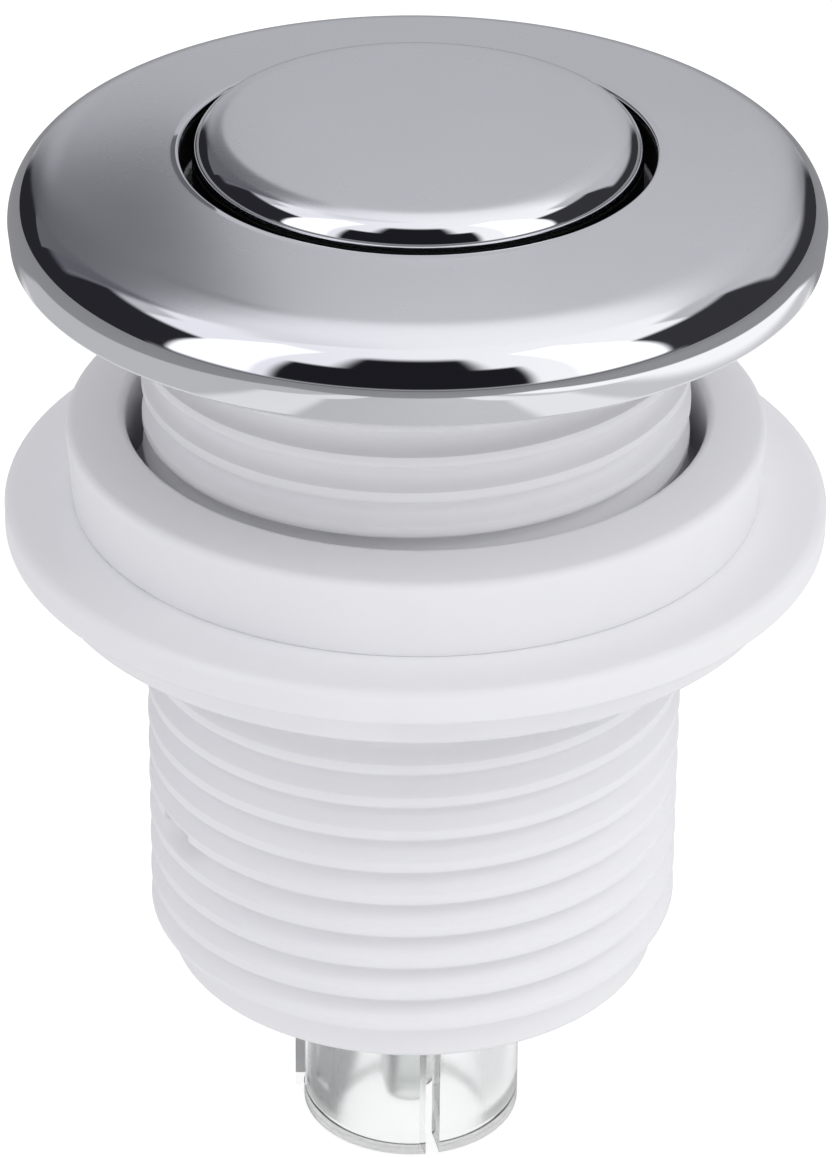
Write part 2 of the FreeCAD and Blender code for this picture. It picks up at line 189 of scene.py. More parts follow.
def rounded(corners):
    """Closed outline through (radius, height) corners; a third number is the fillet of that corner."""
    outline = []
    count = len(corners)
    for i, corner in enumerate(corners):
        here = Vector(corner[:2])
        fillet = corner[2] if len(corner) > 2 else 0
        if not fillet:
            outline.append(tuple(here))
            continue
        back = Vector(corners[i - 1][:2]) - here
        ahead = Vector(corners[(i + 1) % count][:2]) - here
        outline += fillet_points(here, back, ahead, fillet)
    return outline


def fillet_points(here, back, ahead, fillet):
    """Arc that rounds the corner between two directions."""
    back, ahead = back.normalized(), ahead.normalized()
    half = back.angle(ahead) / 2
    centre = here + (back + ahead).normalized() * (fillet / math.sin(half))
    start = here + back * (fillet / math.tan(half)) - centre
    end = here + ahead * (fillet / math.tan(half)) - centre
    sweep = start.angle_signed(end)
    steps = max(2, math.ceil(abs(math.degrees(sweep)) / ARC_STEP))
    points = []
    for k in range(steps + 1):
        turn = Matrix.Rotation(-sweep * k / steps, 2)
        points.append(tuple(centre + turn @ start))
    return points


def place(r, azimuth, z):
    """Point in metres at a radius, an azimuth in radians and a height."""
    return (r * math.sin(azimuth) * MM, -r * math.cos(azimuth) * MM, z * MM)


def add_rings(bm, rings, closed):
    """Skin over rings of points; a ring of one point is a pole on the axis."""
    made = [[bm.verts.new(p) for p in ring] for ring in rings]
    pairs = list(zip(made, made[1:] + made[:1]))
    for a, b in pairs if closed else pairs[:-1]:
        columns = max(len(a), len(b))
        if columns == 1:
            continue
        for i in range(columns):
            j = (i + 1) % columns
            corners = [a[i % len(a)], a[j % len(a)], b[j % len(b)], b[i % len(b)]]
            corners = list(dict.fromkeys(corners))
            bm.faces.new(corners)


def turned_rings(outline, columns):
    """Rings of points that turn an outline about the axis."""
    rings = []
    for r, z in outline:
        count = columns if r > 0 else 1
        rings.append([place(r, TURN * i / columns, z) for i in range(count)])
    return rings


def finish_mesh(bm, name, material):
    """Object from a bmesh, smooth but for its sharp edges."""
    bmesh.ops.remove_doubles(bm, verts=bm.verts, dist=0.0005 * MM)
    bmesh.ops.dissolve_degenerate(bm, edges=bm.edges, dist=0.0002 * MM)
    bmesh.ops.recalc_face_normals(bm, faces=bm.faces)
    mark_sharp(bm)
    mesh = bpy.data.meshes.new(name)
    bm.to_mesh(mesh)
    bm.free()
    mesh.materials.append(material)
    piece = bpy.data.objects.new(name, mesh)
    bpy.context.scene.collection.objects.link(piece)
    return piece


def mark_sharp(bm):
    """Smooth faces, with edges over SHARP_ANGLE kept sharp."""
    limit = math.radians(SHARP_ANGLE)
    for face in bm.faces:
        face.smooth = True
    for edge in bm.edges:
        edge.smooth = len(edge.link_faces) != 2 or edge.calc_face_angle(0) < limit


def soft_edge(outer, face_tilt, curves):
    """Points from a side at the outer radius up to a face with a tilt, heights from the foot of the edge.

    The curves are the wide radius next to the face, the tilt where it tightens and the tight radius.
    """
    wide, bend, tight = curves
    face_tilt, bend = math.radians(face_tilt), math.radians(bend)
    tight_r = outer - tight
    wide_r = tight_r + (tight - wide) * math.sin(bend)
    wide_z = (tight - wide) * math.cos(bend)
    points = []
    for start, end, curve_r, centre_r, centre_z in (
        (math.pi / 2, bend, tight, tight_r, 0.0),
        (bend, face_tilt, wide, wide_r, wide_z),
    ):
        steps = math.ceil(math.degrees(start - end) / EDGE_STEP)
        for k in range(1, steps + 1):
            tilt = start + (end - start) * k / steps
            points.append((centre_r + curve_r * math.sin(tilt), centre_z + curve_r * math.cos(tilt)))
    return points


def turned(name, outline, columns, material):
    """Piece turned from a closed outline."""
    bm = bmesh.new()
    add_rings(bm, turned_rings(outline, columns), closed=True)
    return finish_mesh(bm, name, material)


def combine(piece, other, operation):
    """Cuts the other shape out of the piece, or joins it on."""
    bpy.context.view_layer.update()
    cut = piece.modifiers.new("combine", "BOOLEAN")
    cut.solver = "MANIFOLD"
    cut.operation = operation
    cut.object = other
    depsgraph = bpy.context.evaluated_depsgraph_get()
    mesh = bpy.data.meshes.new_from_object(piece.evaluated_get(depsgraph))
    piece.modifiers.clear()
    old = piece.data
    piece.data = mesh
    bpy.data.meshes.remove(old)
    bpy.data.objects.remove(other)
    bm = bmesh.new()
    bm.from_mesh(piece.data)
    mark_sharp(bm)
    bm.to_mesh(piece.data)
    bm.free()


def box_mesh(bm, inner, outer, width, bottom, top, azimuth):
    """Block that points outwards at an azimuth."""
    block = bmesh.ops.create_cube(bm, size=1)["verts"]
    size = Vector((width, outer - inner, top - bottom)) * MM
    middle = Vector((0, -(inner + outer) / 2, (bottom + top) / 2)) * MM
    turn = Matrix.Rotation(math.radians(azimuth), 4, "Z")
    for vert in block:
        vert.co = turn @ (Vector(map(lambda a, b: a * b, vert.co, size)) + middle)


# Thread

def thread_rise(z, azimuth):
    """Height of the thread over its root at a height and an azimuth in radians, from 0 to 1."""
    phase = (z - THREAD_CREST_Z) / PITCH - azimuth / TURN
    aside = abs(phase - round(phase)) * PITCH
    share = min(1, max(0, (GROOVE_FROM - aside) / (GROOVE_FROM - CREST_FLAT)))
    return share * share * (3 - 2 * share)


def thread_rings(root, top, bottom, columns):
    """Rows that follow the helix from top to bottom, clipped at both heights."""
    step = PITCH / THREAD_ROWS
    rows = math.ceil((top - bottom + PITCH) / step) + 1
    rings = []
    for row in range(rows):
        ring = []
        for i in range(columns + 1):
            azimuth = TURN * i / columns
            z = top - row * step + PITCH * i / columns
            z = min(top, max(bottom, z))
            ring.append(place(root + THREAD_DEPTH * thread_rise(z, azimuth), azimuth, z))
        rings.append(ring)
    return rings


def add_strip(bm, rings):
    """Skin over rows that don't close on themselves."""
    made = [[bm.verts.new(p) for p in ring] for ring in rings]
    for a, b in zip(made, made[1:]):
        for i in range(len(a) - 1):
            bm.faces.new((a[i], a[i + 1], b[i + 1], b[i]))


def thread_edge(root, z, columns):
    """Edge of the thread where it is clipped at a height."""
    ring = []
    for i in range(columns):
        azimuth = TURN * i / columns
        ring.append(place(root + THREAD_DEPTH * thread_rise(z, azimuth), azimuth, z))
    return ring


def threaded(name, root, top, bottom, outline, material):
    """Piece with a thread from top to bottom; the outline is the rest, from the thread's foot to its top."""
    bm = bmesh.new()
    add_strip(bm, thread_rings(root, top, bottom, PLASTIC_COLUMNS))
    rest = [thread_edge(root, bottom, PLASTIC_COLUMNS)]
    rest += turned_rings(outline, PLASTIC_COLUMNS)
    rest += [thread_edge(root, top, PLASTIC_COLUMNS)]
    add_rings(bm, rest, closed=False)
    return finish_mesh(bm, name, material)


# Materials

class Graph:
    """Short way to write a node tree."""

    def __init__(self, tree):
        self.tree = tree

    def node(self, kind, inputs=None, **settings):
        """New node with its settings; an input is a value or another node's output."""
        new = self.tree.nodes.new(kind)
        for key, value in settings.items():
            setattr(new, key, value)
        for key, value in (inputs or {}).items():
            if isinstance(value, bpy.types.NodeSocket):
                self.tree.links.new(value, new.inputs[key])
            else:
                new.inputs[key].default_value = value
        return new

    def math(self, operation, *values):
        """Output of a Math node."""
        return self.node("ShaderNodeMath", dict(enumerate(values)), operation=operation).outputs[0]

    def smooth(self, value, start, end, low=0.0, high=1.0):
        """Value eased from low at start to high at end."""
        inputs = {"Value": value, "From Min": start, "From Max": end, "To Min": low, "To Max": high}
        return self.node("ShaderNodeMapRange", inputs, interpolation_type="SMOOTHSTEP").outputs[0]

    def mix(self, factor, first, second):
        """Mix of two colours."""
        new = self.node("ShaderNodeMix", data_type="RGBA")
        for key, value in ((0, factor), (6, first), (7, second)):
            if isinstance(value, bpy.types.NodeSocket):
                self.tree.links.new(value, new.inputs[key])
            else:
                new.inputs[key].default_value = value
        return new.outputs[2]

    def noise(self, where, scale, detail=3.0, roughness=0.55):
        """Noise value at a place."""
        inputs = {"Vector": where, "Scale": scale, "Detail": detail, "Roughness": roughness}
        return self.node("ShaderNodeTexNoise", inputs).outputs["Fac"]

    def bump(self, height, strength, distance):
        """Normal bent by a height in metres times distance."""
        inputs = {"Height": height, "Strength": strength, "Distance": distance}
        return self.node("ShaderNodeBump", inputs).outputs["Normal"]


def rgb(red, green, blue):
    return (red, green, blue, 1.0)


def new_material(name):
    """Empty material with a Principled shader; gives the material, its graph, shader and object place."""
    material = bpy.data.materials.new(name)
    material.use_nodes = True
    graph = Graph(material.node_tree)
    shader = material.node_tree.nodes["Principled BSDF"]
    where = graph.node("ShaderNodeTexCoord").outputs["Object"]
    return material, graph, shader, where


def link_inputs(graph, shader, **inputs):
    """Sets the shader's inputs, named with _ for a space, to values or outputs."""
    for key, value in inputs.items():
        socket = shader.inputs[key.replace("_", " ")]
        if isinstance(value, bpy.types.NodeSocket):
            graph.tree.links.new(value, socket)
        else:
            socket.default_value = value


def distance_from_axis(graph, where):
    """Distance from the switch's axis, in millimetres."""
    parts = graph.node("ShaderNodeSeparateXYZ", {"Vector": where})
    across = graph.math("MULTIPLY", parts.outputs["X"], parts.outputs["X"])
    along = graph.math("MULTIPLY", parts.outputs["Y"], parts.outputs["Y"])
    distance = graph.math("SQRT", graph.math("ADD", across, along))
    return graph.math("DIVIDE", distance, MM)


def height_over_deck(graph, where):
    """Height over the top of the deck, in millimetres."""
    parts = graph.node("ShaderNodeSeparateXYZ", {"Vector": where})
    return graph.math("DIVIDE", parts.outputs["Z"], MM)


def chrome(name, satin_from, satin_to, gap_r, gap_top):
    """Chrome plate: satin between two radii, polished outside them, with painted shade down in the gap at
    gap_r.
    """
    material, graph, shader, where = new_material(name)
    distance = distance_from_axis(graph, where)
    inner = graph.smooth(distance, satin_from - SATIN_BLEND / 2, satin_from + SATIN_BLEND / 2)
    outer = graph.smooth(distance, satin_to + SATIN_BLEND, satin_to - SATIN_BLEND)
    satin = graph.math("MULTIPLY", inner, outer)
    grain = graph.noise(where, 9000.0, 2.0)
    cloud = graph.noise(where, 160.0, 3.0)
    rough = graph.math("MULTIPLY_ADD", cloud, 0.05, SATIN_ROUGH - 0.025)
    rough = graph.math("MULTIPLY_ADD", satin, graph.math("SUBTRACT", rough, MIRROR_ROUGH), MIRROR_ROUGH)
    height_mm = height_over_deck(graph, where)
    # Painted shade: near gap_r and below gap_top the plate turns near black and rougher, standing in for the
    # shade down in the gap
    aside = graph.math("ABSOLUTE", graph.math("SUBTRACT", distance, gap_r))
    near = graph.smooth(aside, 0.2, 0.1)
    deep = graph.math("MULTIPLY", near, graph.smooth(height_mm, gap_top, gap_top - GAP_SHADE_DROP))
    rough = graph.math("MULTIPLY_ADD", deep, graph.math("SUBTRACT", 0.5, rough), rough)
    tint = graph.mix(cloud, rgb(0.86, 0.868, 0.90), rgb(0.90, 0.905, 0.93))
    # Near-black colour of the painted gap shade
    tint = graph.mix(deep, tint, rgb(0.02, 0.02, 0.022))
    height = graph.math("MULTIPLY", grain, satin)
    link_inputs(
        graph, shader, Base_Color=tint, Metallic=1.0, Roughness=rough,
        Normal=graph.bump(height, 0.06, 0.00002),
    )
    return material


def white_plastic(name, pale, deep, rough, soft):
    """Moulded plastic: faint flow marks, fine skin and soft light in its edges."""
    material, graph, shader, where = new_material(name)
    flow = graph.noise(where, 70.0, 4.0)
    skin = graph.noise(where, 2600.0, 2.0)
    tint = graph.mix(graph.smooth(flow, 0.3, 0.7), deep, pale)
    height = graph.math("MULTIPLY_ADD", flow, 6.0, skin)
    link_inputs(
        graph, shader, Base_Color=tint, Roughness=graph.smooth(flow, 0.2, 0.8, rough - 0.04, rough + 0.05),
        Normal=graph.bump(height, 0.15, 0.000012),
        Subsurface_Weight=soft, Subsurface_Scale=0.0008, IOR=1.49,
    )
    shader.inputs["Subsurface Radius"].default_value = (1.0, 0.95, 0.9)
    return material


def clear_plastic():
    """Clear moulded plastic, polished outside and frosted in the bore and at the foot."""
    material, graph, shader, where = new_material("clear_plastic")
    swirl = graph.noise(where, 220.0, 3.0)
    tint = graph.mix(swirl, rgb(0.955, 0.965, 0.965), rgb(0.98, 0.985, 0.985))
    distance = distance_from_axis(graph, where)
    core = graph.smooth(distance, SPIGOT_R + 0.4, SPIGOT_R + 0.2)
    height_mm = height_over_deck(graph, where)
    inside = graph.smooth(distance, CONNECTOR_R - 0.1, CONNECTOR_R - 0.4)
    foot = graph.smooth(height_mm, connector_foot + 0.5, connector_foot + 0.1)
    frost = graph.math("MULTIPLY", graph.math("MAXIMUM", inside, foot), CONNECTOR_FROST)
    rough = graph.math("ADD", graph.smooth(swirl, 0.3, 0.8, 0.015, 0.06), frost)
    tint = graph.mix(core, tint, rgb(0.86, 0.88, 0.87))
    link_inputs(
        graph, shader, Base_Color=tint, Roughness=rough,
        Normal=graph.bump(swirl, 0.2, 0.00006), Transmission_Weight=1.0, IOR=1.49,
    )
    return material


def rubber():
    """Black moulded rubber with a dusty skin."""
    material, graph, shader, where = new_material("black_rubber")
    skin = graph.noise(where, 1800.0, 3.0)
    dust = graph.noise(where, 120.0, 4.0)
    tint = graph.mix(graph.smooth(dust, 0.35, 0.8), rgb(0.018, 0.018, 0.019), rgb(0.045, 0.045, 0.047))
    link_inputs(
        graph, shader, Base_Color=tint, Roughness=graph.smooth(dust, 0.2, 0.8, 0.55, 0.75),
        Normal=graph.bump(skin, 0.3, 0.00003),
    )
    return material


def spring_steel():
    """Drawn steel with fine lines round the axis."""
    material, graph, shader, where = new_material("spring_steel")
    lines = graph.node("ShaderNodeMapping", {"Vector": where, "Scale": (1.0, 1.0, 12.0)}).outputs[0]
    drawn = graph.noise(lines, 900.0, 2.0)
    tint = graph.mix(drawn, rgb(0.50, 0.50, 0.52), rgb(0.64, 0.64, 0.66))
    link_inputs(
        graph, shader, Base_Color=tint, Metallic=1.0, Roughness=graph.smooth(drawn, 0.2, 0.8, 0.22, 0.38),
        Normal=graph.bump(drawn, 0.2, 0.00001),
    )
    return material


PLASTIC_PALE = rgb(0.93, 0.93, 0.945)
PLASTIC_DEEP = rgb(0.91, 0.91, 0.93)
PLASTIC_ROUGH = 0.42
PLASTIC_SOFT = 0.22
WASHER_ROUGH = 0.5

button_r = radius("button_cap")
hole_r = button_r + BUTTON_GAP
lip_top = high("bezel")
connector_foot = low("air_connector")
# The last two numbers place the painted gap shade: in the bezel's throat and on the button's side below the
# lip
bezel_chrome = chrome("bezel_chrome", hole_r + BEZEL_LIP_BRIGHT, BEZEL_SATIN_R, hole_r, lip_top - 0.1)
button_chrome = chrome("button_chrome", -1.0, BUTTON_SATIN_R, button_r, lip_top)
plastic = white_plastic("white_plastic", PLASTIC_PALE, PLASTIC_DEEP, PLASTIC_ROUGH, PLASTIC_SOFT)
washer_plastic = white_plastic("white_washer", PLASTIC_PALE, PLASTIC_DEEP, WASHER_ROUGH, PLASTIC_SOFT)
clear = clear_plastic()
black_rubber = rubber()
steel = spring_steel()


# Pieces seen from outside

def carry(piece, node, body):
    """The piece stands for its node and rides on its body; the node itself is hidden."""
    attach(piece, body)
    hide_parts(node)
    return piece


def make_bezel():
    """Plated cover ring: satin face, round polished shoulder, hollow below."""
    outer = radius("bezel")
    foot = low("bezel")
    flange_top = high("body")
    slope = math.radians(BEZEL_SLOPE)
    centre_r = outer - BEZEL_SHOULDER_R
    edge_r = centre_r + BEZEL_SHOULDER_R * math.sin(slope)
    edge_z = foot + BEZEL_SIDE_H + BEZEL_SHOULDER_R * math.cos(slope)
    lip_z = edge_z + (edge_r - hole_r) * math.tan(slope)
    cavity = radius("deck_gasket") + BEZEL_FLANGE_GAP
    edge = soft_edge(outer, BEZEL_SLOPE, BEZEL_EDGE)
    edge_foot = edge_z + (edge_r - edge[-1][0]) * math.tan(slope) - edge[-1][1]
    outline = rounded([
        (cavity, foot, 0.15),
        (outer - BEZEL_FOOT_INSET, foot, 0.3),
        (outer, edge_foot),
    ])
    outline += [(r, edge_foot + rise) for r, rise in edge]
    throat = hole_r + BEZEL_WALL
    outline += rounded_open([
        outline[-1],
        (hole_r, lip_z, 0.2),
        (hole_r, flange_top, 0.2),
        (throat, flange_top, 0.2),
        (throat, lip_z - (throat - hole_r) * math.tan(slope) - BEZEL_WALL, 0.4),
        (cavity, edge_z + (edge_r - cavity) * math.tan(slope) - BEZEL_WALL, 0.5),
        (cavity, foot),
    ])
    return carry(
        turned("bezel_shell", outline, CHROME_COLUMNS, bezel_chrome),
        "bezel", "switch",
    )


def rounded_open(corners):
    """Rounded outline without its two end corners."""
    return rounded(corners)[1:-1]


def make_button():
    """Hollow push button with a low crown and a rounded polished edge."""
    top = high("button_cap")
    foot = low("button_cap")
    inner = button_r - BUTTON_WALL
    flat = button_r - BUTTON_EDGE_R
    ceiling = top - BUTTON_CROWN - BUTTON_WALL
    bend = (flat ** 2 + BUTTON_CROWN ** 2) / (2 * BUTTON_CROWN)
    crown_tilt = math.degrees(math.asin(flat / bend))
    edge = soft_edge(button_r, crown_tilt, BUTTON_EDGE)
    crown_r = edge[-1][0]
    edge_foot = top - bend + math.sqrt(bend ** 2 - crown_r ** 2) - edge[-1][1]
    outline = [(0, ceiling), (inner, ceiling), (inner, foot)]
    outline += rounded_open([(inner, foot), (button_r, foot, 0.2), (button_r, edge_foot)])
    outline.append((button_r, edge_foot))
    outline += [(r, edge_foot + rise) for r, rise in edge]
    rings = 24
    for k in range(1, rings):
        r = crown_r * (1 - k / rings)
        outline.append((r, top - bend + math.sqrt(bend ** 2 - r ** 2)))
    outline.append((0, top))
    return carry(
        turned("button_shell", outline, CHROME_COLUMNS, button_chrome),
        "button_cap", "button",
    )


def make_body():
    """Shank with its coarse thread, flange, well, bore, grooves and drain window."""
    flange_top = high("body")
    foot = low("body")
    flange_r = radius("body")
    gasket_top = high("deck_gasket")
    lead_top = foot + LEAD_L
    well_r = LEAD_R - WELL_WALL
    well_groove_r = well_r + CIRCLIP_GROOVE
    bore_r = well_r - WELL_LEDGE
    cap_r = bore_r + CAP_SEAT_STEP
    cap_groove_r = cap_r + CIRCLIP_GROOVE
    cap_top = high("end_cap")
    cap_foot = low("end_cap")
    clip_top = high("sleeve_circlip")
    clip_foot = low("sleeve_circlip")
    end_clip_foot = low("end_circlip")
    outline = rounded_open([
        (THREAD_R, lead_top),
        (LEAD_R, lead_top, 0.12),
        (LEAD_R, foot, 0.45),
        (cap_r, foot, 0.2),
        (cap_r, end_clip_foot),
        (cap_groove_r, end_clip_foot),
        (cap_groove_r, cap_foot),
        (cap_r, cap_foot),
        (cap_r, cap_top),
        (bore_r, cap_top),
        (bore_r, -WELL_DEPTH),
        (well_r, -WELL_DEPTH),
        (well_r, clip_foot),
        (well_groove_r, clip_foot),
        (well_groove_r, clip_top),
        (well_r, clip_top),
        (well_r, flange_top, 0.3),
        (flange_r, flange_top, 0.3),
        (flange_r, gasket_top, 0.15),
        (THREAD_R, gasket_top),
    ])
    body = threaded("threaded_shank", LEAD_R, gasket_top, lead_top, outline, plastic)
    cutter = bmesh.new()
    drain_foot = foot + DRAIN_LIFT - DRAIN_H / 2
    box_mesh(cutter, 0, flange_r, DRAIN_W, drain_foot, drain_foot + DRAIN_H, DRAIN_AZIMUTH)
    combine(body, finish_mesh(cutter, "drain", plastic), "DIFFERENCE")
    return carry(body, "body", "switch")


def make_nut():
    """Flanged nut: grip tier, internal thread, cored underside with ribs."""
    foot = low("flange_nut")
    top = high("flange_nut")
    flange_r = radius("flange_nut")
    flange_foot = top - NUT_FLANGE_T
    grip_r = flange_r - NUT_FLANGE_STEP
    crest_r = THREAD_R + NUT_THREAD_CLEAR
    outline = rounded_open([
        (crest_r, foot),
        (grip_r - NUT_GRIP_DRAFT, foot, 0.5),
        (grip_r, flange_foot, 0.25),
        (flange_r, flange_foot, 0.35),
        (flange_r, top, 0.6),
        (crest_r, top),
    ])
    nut = threaded("nut_shell", LEAD_R + NUT_THREAD_CLEAR, top, foot, outline, plastic)
    hub_r = crest_r + NUT_HUB_WALL
    skirt_r = hub_r + NUT_CORE_W
    cutter = bmesh.new()
    for rib in range(NUT_RIBS):
        add_pocket(cutter, hub_r, skirt_r, foot - NUT_ROOF_T, top - NUT_ROOF_T, 360 / NUT_RIBS * (rib + 0.5))
    combine(nut, finish_mesh(cutter, "pockets", plastic), "DIFFERENCE")
    return carry(nut, "flange_nut", "nut")


def add_pocket(bm, inner, outer, bottom, top, rib_at):
    """Pocket between two ribs of the nut's underside, as a curved block."""
    steps = 24
    rows = []
    for k in range(steps + 1):
        share = k / steps
        inner_gap = math.asin(NUT_RIB_T / 2 / inner)
        outer_gap = math.asin(NUT_RIB_T / 2 / outer)
        start = math.radians(rib_at)
        end = start + TURN / NUT_RIBS
        inner_turn = start + inner_gap + (end - start - 2 * inner_gap) * share
        outer_turn = start + outer_gap + (end - start - 2 * outer_gap) * share
        corners = [(inner, inner_turn, bottom), (outer, outer_turn, bottom)]
        corners += [(outer, outer_turn, top), (inner, inner_turn, top)]
        rows.append([bm.verts.new(place(*corner)) for corner in corners])
    for a, b in zip(rows, rows[1:]):
        for i in range(4):
            j = (i + 1) % 4
            bm.faces.new((a[i], a[j], b[j], b[i]))
    bm.faces.new(rows[0])
    bm.faces.new(rows[-1])


def make_washer():
    """Thick sealing washer with a soft rounded lip and a top that falls outwards."""
    outer = radius("sealing_washer")
    top = high("sealing_washer")
    foot = low("sealing_washer")
    bore = outer - WASHER_W
    outline = rounded([
        (bore, foot, 0.1),
        (outer - WASHER_DRAFT, foot, 0.1),
        (outer, top - WASHER_FALL, 0.55),
        (bore, top, 0.5),
    ])
    return carry(
        turned("washer_ring", outline, PLASTIC_COLUMNS, washer_plastic),
        "sealing_washer", "washer",
    )


def make_gasket():
    """Flat rubber ring with eased edges."""
    box_top = high("deck_gasket")
    outer = radius("deck_gasket")
    bore = THREAD_R + GASKET_BORE_CLEAR
    outline = rounded([
        (bore, 0, 0.15),
        (outer, 0, 0.35),
        (outer, box_top, 0.1),
        (bore, box_top, 0.1),
    ])
    return carry(
        turned("gasket_ring", outline, PLASTIC_COLUMNS, black_rubber),
        "deck_gasket", "switch",
    )


def make_connector():
    """Clear sleeve with the hose spigot inside, a slit at the front and a key on the left."""
    top = high("air_connector")
    foot = low("air_connector")
    flange_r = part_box("air_connector")[1].y / MM
    bore_r = CONNECTOR_R - CONNECTOR_WALL
    cap_top = high("end_cap")
    cap_foot = low("end_cap")
    web_foot = cap_foot - CONNECTOR_WEB_T
    spigot_foot = foot + SPIGOT_SET_BACK
    outline = rounded([
        (SPIGOT_BORE_R, top, 0.1),
        (SPIGOT_BORE_R, spigot_foot, 0.1),
        (SPIGOT_R - SPIGOT_TIP_INSET, spigot_foot, 0.12),
        (SPIGOT_R, spigot_foot + SPIGOT_TAPER_L, 0.3),
        (SPIGOT_R, web_foot, 0.3),
        (bore_r, web_foot, 0.3),
        (bore_r, foot, 0.25),
        (CONNECTOR_R, foot, 0.25),
        (CONNECTOR_R, cap_top),
        (flange_r, cap_top),
        (flange_r, top, 0.2),
    ])
    sleeve = turned("connector_sleeve", outline, CLEAR_COLUMNS, clear)
    slit_in = (bore_r + SPIGOT_R) / 2
    slit = bmesh.new()
    box_mesh(slit, slit_in, CONNECTOR_R + SLIT_W, SLIT_W, foot - SLIT_W, web_foot, SLIT_AZIMUTH)
    combine(sleeve, finish_mesh(slit, "slit", clear), "DIFFERENCE")
    key_in = (bore_r + CONNECTOR_R) / 2
    key = bmesh.new()
    box_mesh(key, key_in, CONNECTOR_R + KEY_STAND_OUT, KEY_W, foot + KEY_SET_BACK, cap_foot, KEY_AZIMUTH)
    combine(sleeve, finish_mesh(key, "key", clear), "UNION")
    return carry(sleeve, "air_connector", "switch")


def make_spring():
    """Coil of round wire, close at both ends."""
    foot = low("return_spring")
    top = high("return_spring")
    wire_r = SPRING_WIRE / 2
    around, sides = 48, 12
    rise = top - foot - SPRING_WIRE
    bm = bmesh.new()
    rings = []
    count = int(SPRING_TURNS * around)
    for k in range(count + 1):
        share = k / count
        eased = share - math.sin(TURN * share) / TURN * 0.55
        turn = TURN * SPRING_TURNS * share
        z = foot + wire_r + rise * eased
        ring = []
        for side in range(sides):
            lean = TURN * side / sides
            ring.append(place(SPRING_R + wire_r * math.cos(lean), turn, z + wire_r * math.sin(lean)))
        rings.append(ring)
    add_rings(bm, rings, closed=False)
    for ring in (bm.verts[:sides], bm.verts[-sides:]):
        bm.faces.new(ring)
    spring = finish_mesh(bm, "spring_coil", steel)
    carry(spring, "return_spring", "switch")
    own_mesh(spring)
    return spring


def make_bellows():
    """Rubber bellows with rounded folds, closed at the top."""
    foot = low("bellows")
    top = high("bellows")
    outer = radius("bellows")
    wall = BELLOWS_WALL
    collar_top = foot + BELLOWS_COLLAR_T
    root = outer - BELLOWS_FOLD
    fold_h = (top - collar_top) / BELLOWS_FOLDS
    outside = [(outer, foot), (outer, collar_top, 0.2)]
    inside = [(root - wall, foot)]
    for k in range(BELLOWS_FOLDS):
        valley = collar_top + k * fold_h
        outside += [(root, valley, 0.3 if k else 0.2), (outer, valley + fold_h / 2, 0.5)]
        inside += [(outer - wall, valley + fold_h / 2, 0.3)]
        if k < BELLOWS_FOLDS - 1:
            inside += [(root - wall, valley + fold_h, 0.5)]
    outside += [(root, top, 0.4), (0, top)]
    inside += [(root + BELLOWS_FOLD * 0.2 - wall, top - wall), (0, top - wall)]
    outline = rounded(outside + inside[::-1])
    ring = turned("bellows_sleeve", outline, PLASTIC_COLUMNS // 2, black_rubber)
    carry(ring, "bellows", "switch")
    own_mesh(ring)
    return ring


# Inner pieces that stay as the frame has them, by their finish
INNER_FINISH = {
    "button_plunger": plastic,
    "guide_sleeve": plastic,
    "bellows_plate": plastic,
    "bellows_clamp": plastic,
    "end_cap": plastic,
    "bezel_seal": black_rubber,
    "stem_wiper": black_rubber,
    "connector_seal": black_rubber,
    "stem_clip": steel,
    "sleeve_circlip": steel,
    "end_circlip": steel,
    "spring_seat": steel,
}


def dress_nodes():
    """Gives each node that stays its finish."""
    for name, material in INNER_FINISH.items():
        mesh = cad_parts[name].data
        mesh.materials.clear()
        mesh.materials.append(material)


# Studio

# Floor, in metres: its glow to diffuse rays, to the eye and through the clear plastic
FLOOR_R = 3.0
FLOOR_LIGHT = 0.6
FLOOR_SEEN = 0.86
FLOOR_THROUGH = 0.9

# Greys across the floor, each: from, to, level before, level after
TABLE_GREY = (-0.10, 0.06, 0.22, 0.31)
TABLE_BRIGHT_RIGHT = (0.098, 0.115, 0.0, 0.42)
TABLE_STRIP_FROM = (0.046, 0.054, 0.0, 0.28)
TABLE_STRIP_TO = (0.078, 0.086, 0.0, 0.26)
THROUGH_GREY_LEFT = (-0.0052, -0.0066, 0.0, 0.75)
THROUGH_GREY_RIGHT = (0.0065, 0.010, 0.0, 0.32)

# Grey table that the plating mirrors, in metres from the axis
TABLE_SIDE = 0.165
TABLE_FRONT = 0.26
TABLE_BACK = 0.095

# Dark flag behind the switch, which only the plating mirrors
FLAG_X = (-110.0, -20.5)
FLAG_Y = 60.0
FLAG_Z = (31.0, 110.0)
FLAG_GREY = rgb(0.13, 0.13, 0.145)

# Lamp, in metres and watts
LAMP_AT = (0.35, -0.25, 0.45)
LAMP_SIZE = 0.3
LAMP_POWER = 0.5

WHITE = rgb(1.0, 1.0, 1.0)

